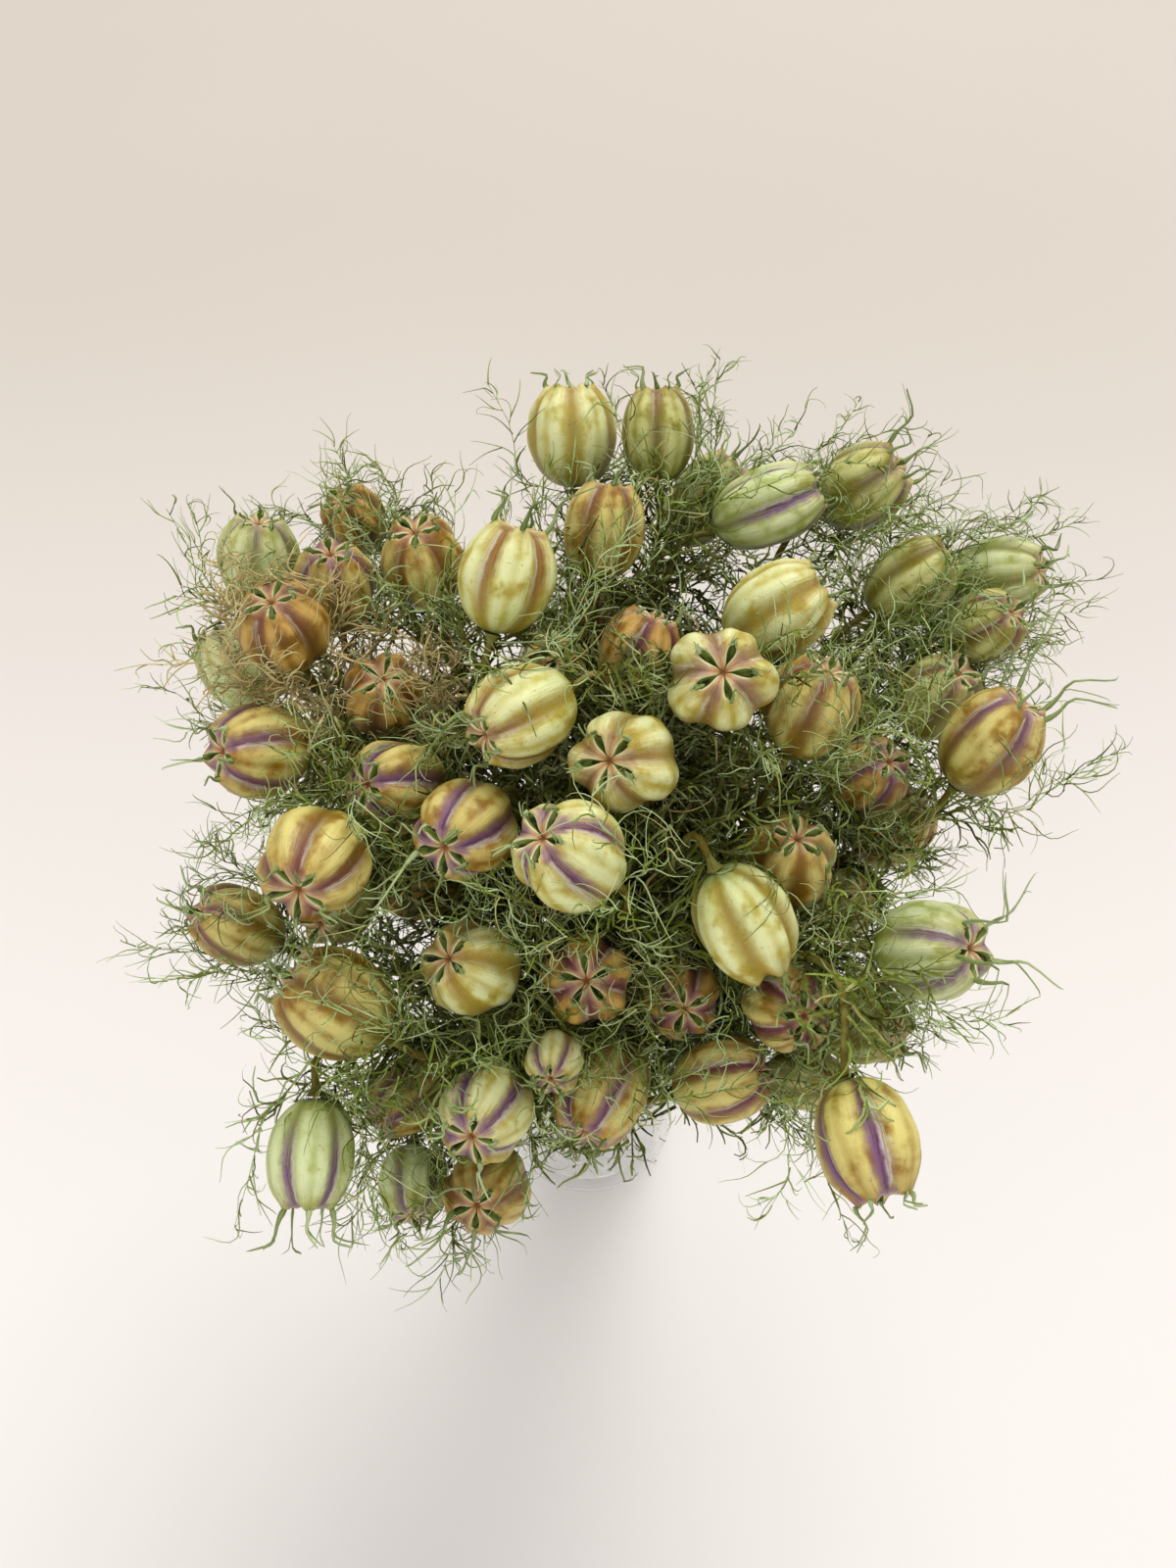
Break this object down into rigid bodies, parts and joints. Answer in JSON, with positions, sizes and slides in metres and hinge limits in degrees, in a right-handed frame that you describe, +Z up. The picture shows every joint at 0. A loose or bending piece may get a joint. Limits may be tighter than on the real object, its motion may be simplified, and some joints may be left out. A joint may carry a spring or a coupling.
{
  "type": "dried nigella seed-head bouquet in a glass vase",
  "caption": "Dried love-in-a-mist seed heads: puffed ribbed capsules with curled horns and feathery thread bracts on thin stems, gathered in a clear glass cylinder vase",
  "frame": {"origin": "centre of the vase's flat underside, on the floor plane", "axes": "+Z up along the vase's axis, +X to the right and +Y to the back of the bunch as it is seen in the picture"},
  "size_m": [0.2643, 0.2433, 0.3666],
  "materials": {
    "vase_glass": "clear, smooth glass",
    "pod_cream": "papery satin seed capsule, pale cream-green with purple seams",
    "pod_ochre": "papery satin seed capsule, ochre with purple seams",
    "pod_olive": "papery seed capsule, olive with dull purple seams",
    "pod_green": "papery satin seed capsule, pale green with purple seams",
    "pod_brown": "papery seed capsule, orange-brown with maroon seams"
  },
  "bodies": {
    "root": {"vase": "vase_glass", "head_01": "pod_cream", "head_02": "pod_olive", "head_03": "pod_cream", "head_04": "pod_ochre", "head_05": "pod_olive", "head_06": "pod_green", "head_07": "pod_olive", "head_08": "pod_cream", "head_09": "pod_cream", "head_10": "pod_ochre", "head_11": "pod_brown", "head_12": "pod_brown", "head_13": "pod_olive", "head_14": "pod_green", "head_15": "pod_olive", "head_16": "pod_olive", "head_17": "pod_ochre", "head_18": "pod_brown", "head_19": "pod_ochre", "head_20": "pod_green", "head_21": "pod_ochre", "head_22": "pod_ochre", "head_23": "pod_brown", "head_24": "pod_brown", "head_25": "pod_green", "head_26": "pod_brown", "head_27": "pod_ochre", "head_28": "pod_ochre", "head_29": "pod_cream", "head_30": "pod_cream", "head_31": "pod_cream", "head_32": "pod_ochre", "head_33": "pod_cream", "head_34": "pod_ochre", "head_35": "pod_ochre", "head_36": "pod_ochre", "head_37": "pod_cream", "head_38": "pod_brown", "head_39": "pod_brown", "head_40": "pod_cream", "head_41": "pod_ochre", "head_42": "pod_ochre", "head_43": "pod_brown", "head_44": "pod_green", "head_45": "pod_ochre", "head_46": "pod_ochre", "head_47": "pod_olive", "head_48": "pod_olive", "head_49": "pod_ochre", "head_50": "pod_cream", "head_51": "pod_cream", "head_52": "pod_ochre", "head_53": "pod_green", "head_54": "pod_green", "head_55": "pod_ochre", "head_56": "pod_brown", "head_57": "pod_ochre", "head_58": "pod_cream", "head_59": "pod_olive"}
  },
  "joints": []
}
